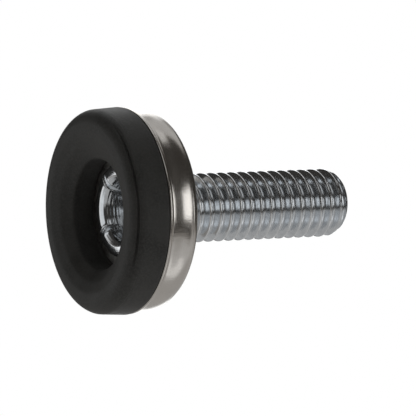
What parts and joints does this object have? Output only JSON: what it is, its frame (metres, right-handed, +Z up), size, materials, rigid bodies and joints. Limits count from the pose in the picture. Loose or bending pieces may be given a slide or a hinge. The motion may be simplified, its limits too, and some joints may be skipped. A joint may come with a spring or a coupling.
{
  "type": "furniture leveling foot",
  "caption": "Furniture leveling foot: threaded stem riveted through a pressed steel cup and washer onto a round rubber sole.",
  "frame": {"origin": "centre of the sole's floor face, on the stem's axis", "axes": "+Z up along the stem, from the floor face towards the threaded tip; X and Y are free because the foot is round"},
  "size_m": [0.0282, 0.0282, 0.039],
  "materials": {
    "zinc_plate": "bright blue-tinted zinc plate, fine turning lines on the thread flanks",
    "nickel_plate": "warm bright nickel plate on drawn steel, slightly wavy reflections",
    "plain_steel": "stamped steel with a dull film of oil",
    "black_rubber": "matte moulded black rubber with fine dust and a parting line"
  },
  "bodies": {
    "root": {"threaded_stem": "zinc_plate", "cup_shell": "nickel_plate", "retaining_washer": "plain_steel", "rubber_sole": "black_rubber"}
  },
  "joints": []
}
